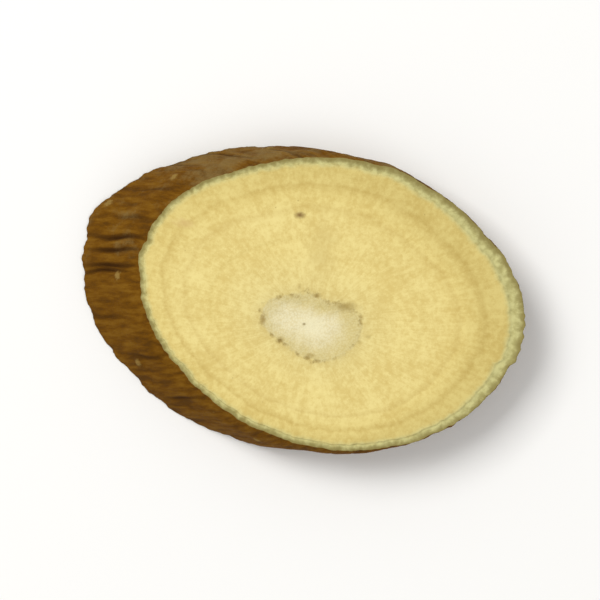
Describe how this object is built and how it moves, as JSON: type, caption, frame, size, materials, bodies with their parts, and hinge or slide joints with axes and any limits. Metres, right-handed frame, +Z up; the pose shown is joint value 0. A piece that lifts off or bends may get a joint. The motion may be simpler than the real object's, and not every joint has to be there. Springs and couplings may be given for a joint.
{
  "type": "mulberry twig slice",
  "caption": "Dried slice of mulberry twig, cut aslant: oval cut faces with pale wood, off-centre pith and inner bark, and a wrinkled brown bark edge.",
  "frame": {"origin": "under the middle of the slice's outline, on the surface that its lower cut face lies on", "axes": "+X along the long axis of the oval cut faces, towards the end where the upper face overhangs; +Z up, square to the cut faces"},
  "size_m": [0.023, 0.0156, 0.0033],
  "materials": {
    "twig": "dry cut wood, pale yellow and matt, with whitish pith, grey-green inner bark and brown wrinkled bark"
  },
  "bodies": {
    "root": {"twig_slice": "twig"}
  },
  "joints": []
}
